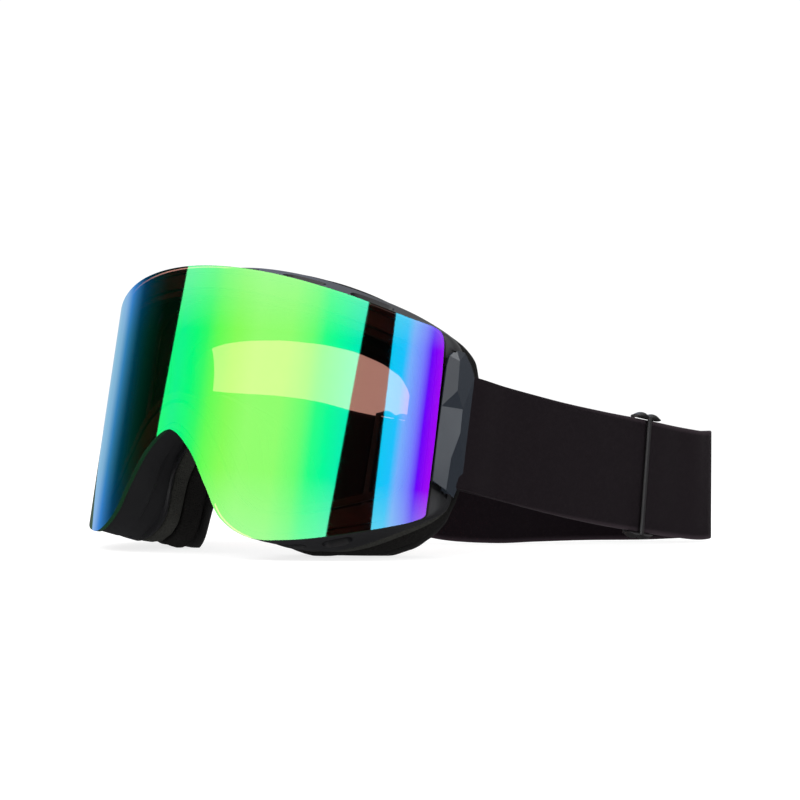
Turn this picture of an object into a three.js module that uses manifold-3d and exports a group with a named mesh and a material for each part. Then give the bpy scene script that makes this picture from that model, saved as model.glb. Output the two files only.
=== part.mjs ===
import * as THREE from 'three';
import { mergeVertices } from 'three/addons/utils/BufferGeometryUtils.js';
import Module from 'manifold-3d';

const wasm = await Module();
wasm.setup();

// Ski goggles with a cylindrical magnetic lens, standing on a table with the strap laid out behind.
// Millimetres. The goggle parts are built in their own frame: the origin is on the axis of the lens
// cylinder, the front looks along -Y, up is +Z and the wearer's left is +X.

// ---- Driving dimensions -------------------------------------------------------------------------

const gap = 0.3;
const leanBack = THREE.MathUtils.degToRad(10.5);
const axisHeight = 50;
const axisSetback = -10.1;
const samplesPerSpan = 3;

const lensRadius = 100;
const lensThickness = 1.6;
const innerLensRadius = 94.6;
const innerLensThickness = 1;
const carrierThickness = 3;
const frameLipRadius = lensRadius - lensThickness - gap;
const frameFlangeRadius = 94.8;
const frameFlangeThickness = 2.4;

// The frame's back and the face side of the foam are upright cylinders about a line further back.
const faceArcCentre = 23;
const frameBackRadius = 101;
const faceRadius = 85;
const foamWrap = 8;

const magnet = { length: 12, width: 3, thickness: 1.6 };
const pocketClearance = 0.25;

const hinge = { x: 84.8, y: -48, pinRadius: 0.9, barrelRadius: 1.7 };
const strapBar = { x: 85, y: -41.2, radius: 1 };
const boreClearance = 0.3;
const seatFloor = 82.8;
const plateInside = 83.6;
const plateOutside = 84.9;
const coverInside = 85.2;

const strapWidth = 44.5;
const strapWidthAtArm = 41;
const strapThickness = 1.5;
const doubledThickness = 2.6;
const frontLength = 102.5;
const sliderLength = 15.4;
const sliderThickness = 5;

// ---- Outlines -----------------------------------------------------------------------------------
// Each outline lists its right half, from the middle of the brow round to the middle of the nose
// notch. Lens outlines are [distance along the arc, height], the others [x, height]. Outlines with
// the same count are paired point by point, and every ring between two of them is an interpolation.

const lensRim = [
  [0, 37.5], [30, 35.6], [60, 30.4], [86, 24.2], [99, 21], [100.7, 18.4], [101.9, -12], [102.2, -44],
  [99.6, -46.3], [76, -54.3], [55, -59.1], [41, -59.7], [29, -54], [20.3, -42.2], [11, -29.9], [0, -23.1],
];
const lensOpening = [
  [0, 27.5], [29, 25.8], [57, 21], [80, 15.5], [89, 12.5], [92, 7], [92.5, -10], [91.5, -30],
  [88, -36], [71, -43.5], [54, -47.6], [44, -47.5], [34.5, -42], [26, -30], [15, -16], [0, -9.5],
];
const frameBack = [
  [0, 42], [28, 39.6], [52, 34], [70, 27], [78.5, 20.5], [81.3, 13], [81.8, -12], [82, -36],
  [80.5, -41.5], [71, -50.2], [57.4, -58.4], [43, -60.6], [31, -58.4], [22.8, -52.5], [18.8, -32], [0, -17],
];
const frameBackOpening = [
  [0, 31], [26, 29], [48, 24.5], [62, 18.5], [68.5, 13], [71.5, 8], [72, -12], [71.5, -30],
  [69.5, -35], [63, -41], [53, -47.2], [42, -49], [35, -46.5], [30, -38], [22, -15], [0, -5.5],
];
const faceEdge = [
  [0, 44], [24, 41.6], [45.6, 35.9], [61, 28], [68.5, 20.4], [71, 12], [71.5, -12], [68.8, -37],
  [66.5, -45.5], [62.5, -52.5], [56, -57], [43, -60], [33, -61.5], [27.6, -58.5], [21.8, -42], [0, -21],
];
const faceOpening = [
  [0, 16.6], [20, 16.4], [36, 14.8], [47, 11.8], [53.5, 7.5], [56.6, 1], [57.5, -10], [57.5, -28],
  [55.5, -34], [51, -40], [46, -43.5], [41, -44.5], [36, -43.5], [32, -38], [24, -20], [0, -8],
];

// The side arm seen from the side, as [y, z], counter-clockwise from the lower front corner.
const armOutline = [
  [-51.4, -31.9], [-40.8, -36.2], [-38, -27], [-38, 7.5], [-40.3, 11.3], [-44, 15.2], [-48.2, 15.6],
  [-50.8, 12.8], [-51.4, 9],
];

// ---- Small helpers ------------------------------------------------------------------------------

const vector = (x, y, z) => new THREE.Vector3(x, y, z);
const xAxis = vector(1, 0, 0);
const yAxis = vector(0, 1, 0);
const zAxis = vector(0, 0, 1);

function count(total, make) {
  return Array.from({ length: total }, (_, index) => make(index));
}

function fromTriangles(points, triangles) {
  const geometry = new THREE.BufferGeometry();
  geometry.setAttribute('position', new THREE.Float32BufferAttribute(points.flatMap((p) => p.toArray()), 3));
  geometry.setIndex(triangles.flat());
  return facingOut(geometry);
}

function facingOut(geometry) {
  const position = geometry.getAttribute('position');
  const order = Array.from(geometry.getIndex().array);
  let volume = 0;
  for (let t = 0; t < order.length; t += 3) {
    const [a, b, c] = order.slice(t, t + 3).map((k) => vector().fromBufferAttribute(position, k));
    volume += a.dot(b.cross(c));
  }
  if (volume < 0) geometry.setIndex(order.reverse());
  return geometry;
}

// Joins rows of points, each a closed section with the same count. A ring's last row meets its
// first; otherwise both end sections are closed with a fan.
function loft(rows, ring = false) {
  const width = rows[0].length;
  const steps = ring ? rows.length : rows.length - 1;
  const triangles = [];
  for (let i = 0; i < steps; i += 1) {
    const here = i * width;
    const next = ((i + 1) % rows.length) * width;
    for (let j = 0; j < width; j += 1) {
      const k = (j + 1) % width;
      triangles.push([here + j, next + j, next + k], [here + j, next + k, here + k]);
    }
  }
  if (!ring) {
    const last = (rows.length - 1) * width;
    for (let j = 1; j < width - 1; j += 1) {
      triangles.push([0, j, j + 1], [last, last + j + 1, last + j]);
    }
  }
  return fromTriangles(rows.flat(), triangles);
}

function solid(geometry) {
  const bare = geometry.clone();
  bare.deleteAttribute('normal');
  bare.deleteAttribute('uv');
  const merged = mergeVertices(bare);
  const vertProperties = new Float32Array(merged.getAttribute('position').array);
  const triVerts = new Uint32Array(merged.getIndex().array);
  return new wasm.Manifold(new wasm.Mesh({ numProp: 3, vertProperties, triVerts }));
}

function fromSolid(body) {
  const mesh = body.getMesh();
  const geometry = new THREE.BufferGeometry();
  geometry.setAttribute('position', new THREE.BufferAttribute(mesh.vertProperties, 3));
  geometry.setIndex(new THREE.BufferAttribute(mesh.triVerts, 1));
  return geometry;
}

function combine(base, { join = [], cut = [] }) {
  const joined = join.reduce((body, piece) => body.add(solid(piece)), solid(base));
  return fromSolid(cut.reduce((body, piece) => body.subtract(solid(piece)), joined));
}

function mirrored(geometry) {
  const copy = geometry.clone().scale(-1, 1, 1);
  if (!copy.getIndex()) copy.setIndex(count(copy.getAttribute('position').count, (k) => k));
  return copy.setIndex(Array.from(copy.getIndex().array).reverse());
}

function box(low, high) {
  const size = high.map((value, k) => value - low[k]);
  const middle = high.map((value, k) => (value + low[k]) / 2);
  return new THREE.BoxGeometry(...size).translate(...middle);
}

function uprightRod(x, y, low, high, radius, sides = 12) {
  const rod = new THREE.CylinderGeometry(radius, radius, high - low, sides);
  return rod.rotateX(Math.PI / 2).translate(x, y, (high + low) / 2);
}

function extrudedAlongX(outline, from, to) {
  const shape = new THREE.Shape(outline.map(([y, z]) => new THREE.Vector2(y, z)));
  const plate = new THREE.ExtrudeGeometry(shape, { depth: to - from, bevelEnabled: false });
  return plate.applyMatrix4(new THREE.Matrix4().makeBasis(yAxis, zAxis, xAxis).setPosition(from, 0, 0));
}

function orientedBox(centre, along, outward, length, width, thickness) {
  const across = outward.clone().cross(along).normalize();
  const basis = new THREE.Matrix4().makeBasis(along, across, outward).setPosition(centre);
  return new THREE.BoxGeometry(length, width, thickness).applyMatrix4(basis);
}

// ---- The paired loops ---------------------------------------------------------------------------

// The sides stay straight: the curve never bulges past the widest listed point.
function sampledLoop(half) {
  const left = half.slice(1, -1).reverse().map(([u, height]) => [-u, height]);
  const corners = [...half, ...left].map(([u, height]) => vector(u, height, 0));
  const widest = Math.max(...half.map(([u]) => u));
  const curve = new THREE.CatmullRomCurve3(corners, true, 'centripetal');
  const total = corners.length * samplesPerSpan;
  return count(total, (index) => {
    const point = curve.getPoint(index / total);
    return point.setX(THREE.MathUtils.clamp(point.x, -widest, widest));
  });
}

const loops = {
  lens: [sampledLoop(lensRim), sampledLoop(lensOpening)],
  back: [sampledLoop(frameBack), sampledLoop(frameBackOpening)],
  face: [sampledLoop(faceEdge), sampledLoop(faceOpening)],
};
const loopSize = loops.lens[0].length;

// A share of 0 is on the outer outline, and of 1 on the opening.
function between(pair, index, share) {
  const wrapped = (index + loopSize) % loopSize;
  return pair[0][wrapped].clone().lerp(pair[1][wrapped], share);
}

function lensPoint(index, radius, share) {
  const { x: arc, y: height } = between(loops.lens, index, share);
  return vector(radius * Math.sin(arc / lensRadius), -radius * Math.cos(arc / lensRadius), height);
}

function arcPoint({ x, y: height }, radius, centre) {
  return vector(x, centre - Math.sqrt(radius * radius - x * x), height);
}

function backPoint(index, share) {
  return arcPoint(between(loops.back, index, share), frameBackRadius, faceArcCentre);
}

// The foam reaches further back at the cheeks and temples than at the brow.
function facePoint(index, share) {
  const point = between(loops.face, index, share);
  const cheek = THREE.MathUtils.smoothstep(-point.y, -5, 42);
  const temple = THREE.MathUtils.smoothstep(Math.abs(point.x), 46, 71);
  const wrap = foamWrap * (1 - (1 - cheek) * (1 - temple));
  return arcPoint(point, faceRadius, faceArcCentre + wrap);
}

function framePoint(index, depth, share) {
  return lensPoint(index, frameFlangeRadius, share).lerp(backPoint(index, share), depth);
}

// The foam is pressed flat where the goggles stand on it.
function foamPoint(index, depth, share) {
  const point = backPoint(index, share).lerp(facePoint(index, share), depth);
  const floor = (point.y * Math.sin(leanBack) - axisHeight) / Math.cos(leanBack);
  return point.setZ(Math.max(point.z, floor));
}

function ring(section) {
  return loft(count(loopSize, section), true);
}

// ---- Lens ---------------------------------------------------------------------------------------

function heightsAt(loop, arc) {
  const heights = [];
  loop.forEach((here, index) => {
    const next = loop[(index + 1) % loop.length];
    if (here.x !== next.x && (here.x - arc) * (next.x - arc) <= 0) {
      heights.push(THREE.MathUtils.mapLinear(arc, here.x, next.x, here.y, next.y));
    }
  });
  return [Math.max(...heights), Math.min(...heights)];
}

function lensPlate(outerRadius, thickness, share, stations = 56) {
  const loop = count(loopSize, (index) => between(loops.lens, index, share));
  const reach = Math.max(...loop.map((point) => point.x)) - 0.1;
  const place = (arc, radius, height) => {
    const angle = arc / lensRadius;
    return vector(radius * Math.sin(angle), -radius * Math.cos(angle), height);
  };
  return loft(count(stations + 1, (station) => {
    const t = (2 * station) / stations - 1;
    const arc = reach * (0.65 * t + 0.35 * Math.sin((Math.PI * t) / 2));
    const [top, bottom] = heightsAt(loop, arc);
    const inner = outerRadius - thickness;
    return [place(arc, outerRadius, top), place(arc, outerRadius, bottom),
      place(arc, inner, bottom), place(arc, inner, top)];
  }));
}

// A magnet is named by its place and set at a position counted in outline points.
const magnetPlaces = { brow: 1.66, side: 6, cheek: 9.66 };

function magnetSeats() {
  return Object.entries(magnetPlaces).flatMap(([place, position]) => [1, -1].map((side) => {
    const index = side * Math.round(position * samplesPerSpan);
    const step = lensPoint(index + side, frameFlangeRadius, 0.5);
    const along = step.sub(lensPoint(index - side, frameFlangeRadius, 0.5));
    const onFlange = lensPoint(index, frameFlangeRadius, 0.5);
    const outward = vector(onFlange.x, onFlange.y, 0).normalize();
    along.addScaledVector(outward, -along.dot(outward)).normalize();
    return { name: `${place}_${side > 0 ? 'left' : 'right'}`, onFlange, along, outward };
  }));
}

// Magnets lie either side of the face where the carrier meets the frame: level 1 is in the carrier
// and level -1 in the frame.
function magnetBar({ onFlange, along, outward }, level, clearance = 0) {
  const room = clearance > 0 ? 1 : 0;
  const lift = level > 0 ? gap : 0;
  const middle = level * (magnet.thickness / 2 - room / 2 + clearance / 2) + lift;
  const centre = onFlange.clone().addScaledVector(outward, middle);
  return orientedBox(centre, along, outward, magnet.length + 2 * clearance,
    magnet.width + 2 * clearance, magnet.thickness + room + clearance);
}

function lensCarrier(seats) {
  const rear = frameFlangeRadius + gap;
  const front = rear + carrierThickness;
  const body = ring((i) => [lensPoint(i, front, 0.23), lensPoint(i, front, 0.76),
    lensPoint(i, rear, 0.76), lensPoint(i, rear, 0.23)]);
  return combine(body, { cut: seats.map((seat) => magnetBar(seat, 1, pocketClearance)) });
}

function lensSpacer() {
  const rear = innerLensRadius + gap;
  const front = frameLipRadius;
  return ring((i) => [lensPoint(i, front, 0.86), lensPoint(i, front, 1.06),
    lensPoint(i, rear, 1.06), lensPoint(i, rear, 0.86)]);
}

// ---- Frame --------------------------------------------------------------------------------------

const shoulderBulge = 3.6;

function frameShell() {
  const flangeRear = frameFlangeRadius - frameFlangeThickness;
  return ring((i) => {
    const shoulder = framePoint(i, 0.45, 0);
    const outward = shoulderBulge * THREE.MathUtils.smoothstep(Math.abs(shoulder.x), 70, 82);
    shoulder.x += Math.sign(shoulder.x) * outward;
    return [
      lensPoint(i, frameLipRadius, 0.04), lensPoint(i, frameLipRadius, 0.19),
      lensPoint(i, frameFlangeRadius, 0.19), lensPoint(i, frameFlangeRadius, 0.8),
      lensPoint(i, flangeRear, 0.8), lensPoint(i, flangeRear, 0.27),
      framePoint(i, 0.85, 0.27), framePoint(i, 0.85, 0.95),
      framePoint(i, 1, 0.95), framePoint(i, 1, 0), shoulder,
    ];
  });
}

// Slots through the frame's wall, counted in outline points from the middle of the brow.
const browVents = [0.34, 1.34, 2.34];
const cheekVents = [9.66, 10.66];

function ventSlot(position, length) {
  const index = Math.round(position * samplesPerSpan);
  const centre = framePoint(index, 0.5, 0.12);
  const along = framePoint(index + 1, 0.5, 0.12).sub(framePoint(index - 1, 0.5, 0.12)).normalize();
  const inward = framePoint(index, 0.5, 1).sub(centre);
  inward.addScaledVector(along, -inward.dot(along)).normalize();
  return orientedBox(centre, along, inward, length, 6, 9);
}

function ventFoam(from, to) {
  const first = Math.round(from * samplesPerSpan);
  const steps = Math.round((to - from) * samplesPerSpan);
  return loft(count(steps + 1, (k) => [framePoint(first + k, 0.26, 0.36), framePoint(first + k, 0.26, 0.52),
    framePoint(first + k, 0.78, 0.52), framePoint(first + k, 0.78, 0.36)]));
}

const knuckles = [[-32, -29], [9.5, 12.5]];

function armSeat(clearance = 0.5) {
  const [wide, tall] = [13.2, 50.8];
  const [middleY, middleZ] = [-44.6, -10.4];
  return armOutline.map(([y, z]) => [
    middleY + (y - middleY) * (1 + (2 * clearance) / wide),
    middleZ + (z - middleZ) * (1 + (2 * clearance) / tall),
  ]);
}

function frameKnuckle([low, high]) {
  const reach = hinge.barrelRadius;
  const foot = box([seatFloor - 0.6, hinge.y - reach, low], [hinge.x, hinge.y + reach, high]);
  return combine(foot, { join: [uprightRod(hinge.x, hinge.y, low, high, reach)] });
}

function frame(seats) {
  const bothSides = (piece) => [piece, mirrored(piece)];
  const seat = extrudedAlongX(armSeat(), seatFloor, 95);
  const strapRoom = box([seatFloor + 0.6, -41, -35.4], [95, -30, 10.8]);
  const pinBore = uprightRod(hinge.x, hinge.y, -34, 14.4, hinge.pinRadius + boreClearance);
  const vents = [
    ...browVents.flatMap((position) => bothSides(ventSlot(position, 17))),
    ...cheekVents.flatMap((position) => bothSides(ventSlot(position, 11))),
  ];
  const magnetPockets = seats.map((place) => magnetBar(place, -1, pocketClearance));
  const opened = combine(frameShell(), {
    cut: [...bothSides(seat), ...bothSides(strapRoom), ...vents, ...magnetPockets],
  });
  return combine(opened, {
    join: knuckles.flatMap((span) => bothSides(frameKnuckle(span))),
    cut: bothSides(pinBore),
  });
}

// ---- Face foam ----------------------------------------------------------------------------------

function foamLayer(front, rear, outer = 0, inner = 1) {
  return ring((i) => [foamPoint(i, front, outer), foamPoint(i, front, inner),
    foamPoint(i, rear, inner), foamPoint(i, rear, outer)]);
}

// ---- Side arm, built for the wearer's left --------------------------------------------------------

// Faceted cover: corners as [x, y, z]. The ridge runs down the middle and the front and rear edges
// follow the arm's outline.
const coverCorners = {
  lowFront: [86, -51.4, -31.9],
  lowRear: [87.2, -40.8, -36.2],
  rearLower: [87.7, -38, -27],
  rearUpper: [87.7, -38, 7.5],
  rearShoulder: [87.5, -40.3, 11.3],
  topRear: [87.1, -44, 15.2],
  topFront: [86.6, -48.2, 15.6],
  frontShoulder: [86, -50.8, 12.8],
  highFront: [85.8, -51.4, 9],
  frontUpper: [85.6, -51.4, -5.3],
  frontLower: [85.6, -51.4, -18],
  ridgeTop: [88.2, -47.6, 11.5],
  ridgeUpper: [88.5, -47.2, 1],
  ridgeWideUpper: [88.8, -43.6, -5],
  ridgeWideLower: [88.8, -43.3, -13.5],
  ridgePoint: [88.5, -46.2, -23],
  ridgeBottom: [87.8, -46, -34.3],
};
const coverFacets = [
  ['highFront', 'frontUpper', 'ridgeUpper', 'ridgeTop', 'frontShoulder'],
  ['frontShoulder', 'ridgeTop', 'topFront'],
  ['frontUpper', 'ridgeWideUpper', 'ridgeUpper'],
  ['frontUpper', 'frontLower', 'ridgePoint', 'ridgeWideLower', 'ridgeWideUpper'],
  ['frontLower', 'lowFront', 'ridgeBottom', 'ridgePoint'],
  ['ridgeTop', 'topRear', 'topFront'],
  ['ridgeTop', 'ridgeUpper', 'rearShoulder', 'topRear'],
  ['ridgeUpper', 'ridgeWideUpper', 'rearUpper', 'rearShoulder'],
  ['ridgeWideUpper', 'ridgeWideLower', 'rearLower', 'rearUpper'],
  ['ridgeWideLower', 'ridgePoint', 'lowRear', 'rearLower'],
  ['ridgePoint', 'ridgeBottom', 'lowRear'],
];

function facetedPlate() {
  const names = Object.keys(coverCorners);
  const outside = names.map((name) => vector(...coverCorners[name]));
  const inside = outside.map((corner) => corner.clone().setX(coverInside));
  const triangles = coverFacets.flatMap((facet) => {
    const corners = facet.map((name) => names.indexOf(name));
    return count(corners.length - 2, (k) => [corners[0], corners[k + 1], corners[k + 2]]);
  });
  const edges = triangles.flatMap(([a, b, c]) => [[a, b], [b, c], [c, a]]);
  const isRim = ([a, b]) => !edges.some(([c, d]) => a === d && b === c);
  const under = (k) => k + names.length;
  const underside = triangles.map(([a, b, c]) => [under(c), under(b), under(a)]);
  const walls = edges.filter(isRim).flatMap(([a, b]) => [[b, a, under(a)], [b, under(a), under(b)]]);
  return fromTriangles([...outside, ...inside], [...triangles, ...underside, ...walls]);
}

const screwHeights = { upper: 5, lower: -27 };
const screwY = -44.3;

function alongX(profile, x, y, z, sides = 12) {
  const points = profile.map(([radius, reach]) => new THREE.Vector2(radius, reach));
  return new THREE.LatheGeometry(points, sides).rotateZ(-Math.PI / 2).translate(x, y, z);
}

function rodAlongX(from, to, y, z, radius) {
  return alongX([[0, 0], [radius, 0], [radius, to - from], [0, to - from]], from, y, z);
}

function armCover() {
  const hingeGroove = uprightRod(hinge.x, hinge.y, -40, 20, hinge.barrelRadius + boreClearance);
  const barGroove = uprightRod(strapBar.x, strapBar.y, -40, 20, strapBar.radius + boreClearance);
  const lugRoom = box([80, -43.4, -40], [87.05, -30, 20]);
  const screwHoles = Object.values(screwHeights).map((z) => rodAlongX(80, 87.4, screwY, z, 1.1));
  return combine(facetedPlate(), { cut: [hingeGroove, barGroove, lugRoom, ...screwHoles] });
}

function armBracket() {
  const plateOutline = [[-45.9, -33], [-41.4, -34.8], [-40.2, -34.8], [-40.2, -33.7], [-43, -33.7],
    [-43, 8.7], [-40.2, 8.7], [-40.2, 10.3], [-43, 12.5], [-45.9, 12.5]];
  const plate = extrudedAlongX(plateOutline, plateInside, plateOutside);
  const barrel = uprightRod(hinge.x, hinge.y, -28.6, 9.1, hinge.barrelRadius);
  const web = box([plateInside + 0.2, hinge.y, -28.6], [plateOutside, -45.4, 9.1]);
  const lugs = [
    box([plateInside, -43, -34.8], [86.5, -39.9, -33.7]),
    box([plateInside, -43, 8.7], [86.5, -39.9, 10.1]),
  ];
  const pinBore = uprightRod(hinge.x, hinge.y, -30, 10, hinge.pinRadius + boreClearance);
  const barBore = uprightRod(strapBar.x, strapBar.y, -36, 12, strapBar.radius + boreClearance);
  const screwHoles = Object.values(screwHeights).flatMap((z) => [
    rodAlongX(80, 90, screwY, z, 1.1),
    rodAlongX(80, plateInside + 0.9, screwY, z, 1.9),
  ]);
  return combine(plate, { join: [barrel, web, ...lugs], cut: [pinBore, barBore, ...screwHoles] });
}

function armScrew(z) {
  const profile = [[0, 0], [1.6, 0], [1.6, 0.8], [0.8, 0.8], [0.8, 3.6], [0, 3.6]];
  return alongX(profile, plateInside - 0.1, screwY, z);
}

// ---- Strap --------------------------------------------------------------------------------------
// The strap runs from the left arm straight back, folds round, and lies across to the right arm.
// The points are relative to the lens axis, upright, not leaning with the goggles.

const restingHeight = strapWidth / 2 - axisHeight + gap;
const strapRoute = new THREE.CatmullRomCurve3([
  vector(85.45, -41.2, -5), vector(85.7, -15, -9.8), vector(85.9, 15, -15), vector(85.8, 42, -18.9),
  vector(85.4, 69, -22.2), vector(84.9, 92, -25), vector(84.6, 110, restingHeight + 0.8),
  vector(83, 119, restingHeight + 0.9), vector(77, 123.7, restingHeight + 0.8),
  vector(70, 121, restingHeight + 0.6), vector(59, 107.5, restingHeight), vector(45, 86, restingHeight),
  vector(38, 62, restingHeight), vector(34, 42, restingHeight), vector(24, 26, -26.3),
  vector(12, 21.4, -24.4), vector(2, 17.8, -22.8), vector(-20, 10, -18.5), vector(-34, 5, -14.6),
  vector(-48, 0, -12.2), vector(-72, -11, -9.9), vector(-83.3, -24, -7.5), vector(-85.45, -41.2, -5),
], false, 'centripetal');
strapRoute.arcLengthDivisions = 1000;
const strapLength = strapRoute.getLength();

// Where the strap is, which way it runs, its width direction and its outward side, at a distance
// from the left arm.
function strapFrame(distance) {
  const share = distance / strapLength;
  const centre = strapRoute.getPointAt(share);
  const along = strapRoute.getTangentAt(share);
  const fromArm = Math.min(distance, strapLength - distance);
  const settled = THREE.MathUtils.smoothstep(fromArm, 0, frontLength);
  const tilt = leanBack * (1 - settled);
  const up = vector(0, Math.sin(tilt), Math.cos(tilt));
  up.addScaledVector(along, -up.dot(along)).normalize();
  const width = THREE.MathUtils.lerp(strapWidthAtArm, strapWidth, THREE.MathUtils.smoothstep(fromArm, 0, 130));
  return { centre, along, up, outward: along.clone().cross(up), width };
}

function strapBand(from, to, thickness, step) {
  const stations = Math.round((to - from) / step);
  return loft(count(stations + 1, (station) => {
    const { centre, up, outward, width } = strapFrame(from + ((to - from) * station) / stations);
    const corner = (side, edge) => centre.clone().addScaledVector(outward, (side * thickness) / 2)
      .addScaledVector(up, (edge * width) / 2);
    return [corner(1, 1), corner(1, -1), corner(-1, -1), corner(-1, 1)];
  }));
}

// A three-bar slider in its own frame: x along the strap, y outward, z along its width. The strap
// passes outside the end bars and inside the middle bar.
function slider() {
  const innerHalf = strapWidth / 2 + 0.5;
  const outerHalf = innerHalf + 2;
  const [halfLength, halfThickness] = [sliderLength / 2, sliderThickness / 2];
  const barClearance = strapThickness / 2 + 0.45;
  const rail = (side) => box(
    [-halfLength, -halfThickness, Math.min(side * innerHalf, side * outerHalf)],
    [halfLength, halfThickness, Math.max(side * innerHalf, side * outerHalf)],
  );
  const bar = (x, near, far) => box([x - 1.3, near, -outerHalf], [x + 1.3, far, outerHalf]);
  const ends = [-1, 1].map((side) => bar(side * (halfLength - 1.3), -halfThickness, -barClearance));
  const middle = bar(0, barClearance, halfThickness);
  return combine(rail(1), { join: [rail(-1), ...ends, middle] });
}

// ---- Assembly -----------------------------------------------------------------------------------

const finishes = {
  mirrorLens: { color: 0x2fd26a, roughness: 0.06, metalness: 0.9 },
  clearLens: { color: 0x6f7a70, roughness: 0.08, metalness: 0.1 },
  framePlastic: { color: 0x17181b, roughness: 0.55, metalness: 0 },
  armPlastic: { color: 0x2b2f36, roughness: 0.45, metalness: 0 },
  foam: { color: 0x101010, roughness: 1, metalness: 0 },
  fleece: { color: 0x0c0c0c, roughness: 1, metalness: 0 },
  gasket: { color: 0x141414, roughness: 0.8, metalness: 0 },
  magnet: { color: 0xa9abb0, roughness: 0.3, metalness: 1 },
  steel: { color: 0x8b8e93, roughness: 0.35, metalness: 1 },
  webbing: { color: 0x191617, roughness: 0.95, metalness: 0 },
  buckle: { color: 0x1d1e20, roughness: 0.5, metalness: 0 },
};

function mesh(name, geometry, finish) {
  const piece = new THREE.Mesh(geometry, new THREE.MeshStandardMaterial(finishes[finish]));
  piece.name = name;
  return piece;
}

function leftAndRight(name, geometry, finish) {
  return [mesh(`${name}_left`, geometry, finish), mesh(`${name}_right`, mirrored(geometry), finish)];
}

function sliderAt(name, distance) {
  const piece = mesh(name, slider(), 'buckle');
  const { centre, along, up, outward } = strapFrame(distance);
  piece.applyMatrix4(new THREE.Matrix4().makeBasis(along.negate(), outward, up).setPosition(centre));
  return piece;
}

function goggleParts() {
  const seats = magnetSeats();
  return [
    mesh('outer_lens', lensPlate(lensRadius, lensThickness, 0), 'mirrorLens'),
    mesh('inner_lens', lensPlate(innerLensRadius, innerLensThickness, 0.85), 'clearLens'),
    mesh('lens_carrier', lensCarrier(seats), 'framePlastic'),
    mesh('lens_spacer', lensSpacer(), 'gasket'),
    ...seats.map((seat) => mesh(`lens_magnet_${seat.name}`, magnetBar(seat, 1), 'magnet')),
    ...seats.map((seat) => mesh(`frame_magnet_${seat.name}`, magnetBar(seat, -1), 'magnet')),
    mesh('frame', frame(seats), 'framePlastic'),
    mesh('vent_foam_brow', ventFoam(-2.66, 2.66), 'foam'),
    ...leftAndRight('vent_foam_cheek', ventFoam(9, 11.34), 'foam'),
    mesh('face_foam_base', foamLayer(0.03, 0.33, 0.03, 0.97), 'foam'),
    mesh('face_foam_middle', foamLayer(0.36, 0.785), 'foam'),
    mesh('face_foam_fleece', foamLayer(0.845, 1), 'fleece'),
    ...leftAndRight('arm_bracket', armBracket(), 'framePlastic'),
    ...leftAndRight('arm_cover', armCover(), 'armPlastic'),
    ...leftAndRight('arm_pin', uprightRod(hinge.x, hinge.y, -32, 12.5, hinge.pinRadius), 'steel'),
    ...leftAndRight('strap_bar', uprightRod(strapBar.x, strapBar.y, -34.8, 10.1, strapBar.radius), 'steel'),
    ...leftAndRight('arm_screw_upper', armScrew(screwHeights.upper), 'steel'),
    ...leftAndRight('arm_screw_lower', armScrew(screwHeights.lower), 'steel'),
  ];
}

function strapParts() {
  const start = strapBar.radius + 0.4;
  const rearStart = frontLength + gap;
  const fromSlider = rearStart + sliderLength / 2 + 0.5;
  return [
    mesh('strap_left', strapBand(start, frontLength, doubledThickness, 9), 'webbing'),
    mesh('strap_rear', strapBand(rearStart, strapLength - rearStart, strapThickness, 4), 'webbing'),
    mesh('strap_right', strapBand(strapLength - frontLength, strapLength - start, doubledThickness, 6), 'webbing'),
    sliderAt('slider_left', fromSlider),
    sliderAt('slider_right', strapLength - fromSlider),
  ];
}

const leaning = new THREE.Group();
leaning.rotation.x = -leanBack;
leaning.position.set(0, axisSetback, axisHeight);
leaning.add(...goggleParts());

const upright = new THREE.Group();
upright.position.copy(leaning.position);
upright.add(...strapParts());

const goggles = new THREE.Group();
goggles.add(leaning, upright);

export default goggles;
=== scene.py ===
"""Looks for the ski goggles: smooth lens, moulded frame, face foam, elastic strap and faceted arms.

Shapes are worked out in millimetres in the goggles' own frame (origin on the axis of the lens
cylinder, front towards -Y, +X the wearer's left) and placed in the row frame, in metres.
"""

import math

import bmesh
import bpy
import numpy as np
from mathutils import Matrix, Vector


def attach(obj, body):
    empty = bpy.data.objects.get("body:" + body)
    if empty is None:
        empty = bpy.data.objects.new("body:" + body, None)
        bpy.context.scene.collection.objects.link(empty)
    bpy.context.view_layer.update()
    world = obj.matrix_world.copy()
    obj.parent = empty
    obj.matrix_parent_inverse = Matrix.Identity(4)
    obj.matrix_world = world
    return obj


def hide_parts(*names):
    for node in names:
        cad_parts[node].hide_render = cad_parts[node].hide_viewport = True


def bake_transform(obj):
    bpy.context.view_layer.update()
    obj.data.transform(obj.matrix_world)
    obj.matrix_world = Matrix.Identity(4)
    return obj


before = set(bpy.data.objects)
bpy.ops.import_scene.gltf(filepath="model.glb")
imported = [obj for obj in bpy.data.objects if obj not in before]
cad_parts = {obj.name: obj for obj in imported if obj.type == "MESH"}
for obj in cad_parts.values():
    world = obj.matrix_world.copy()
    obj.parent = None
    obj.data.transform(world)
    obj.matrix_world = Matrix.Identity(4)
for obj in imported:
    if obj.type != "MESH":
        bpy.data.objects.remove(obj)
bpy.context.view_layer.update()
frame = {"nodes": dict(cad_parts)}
nodes = frame["nodes"]

MM = 0.001

# ---- Driving dimensions, in millimetres ----

LEAN = math.radians(10.5)
AXIS = np.array([0.0, -10.1, 50.0])
SAMPLES_PER_SPAN = 14

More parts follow.
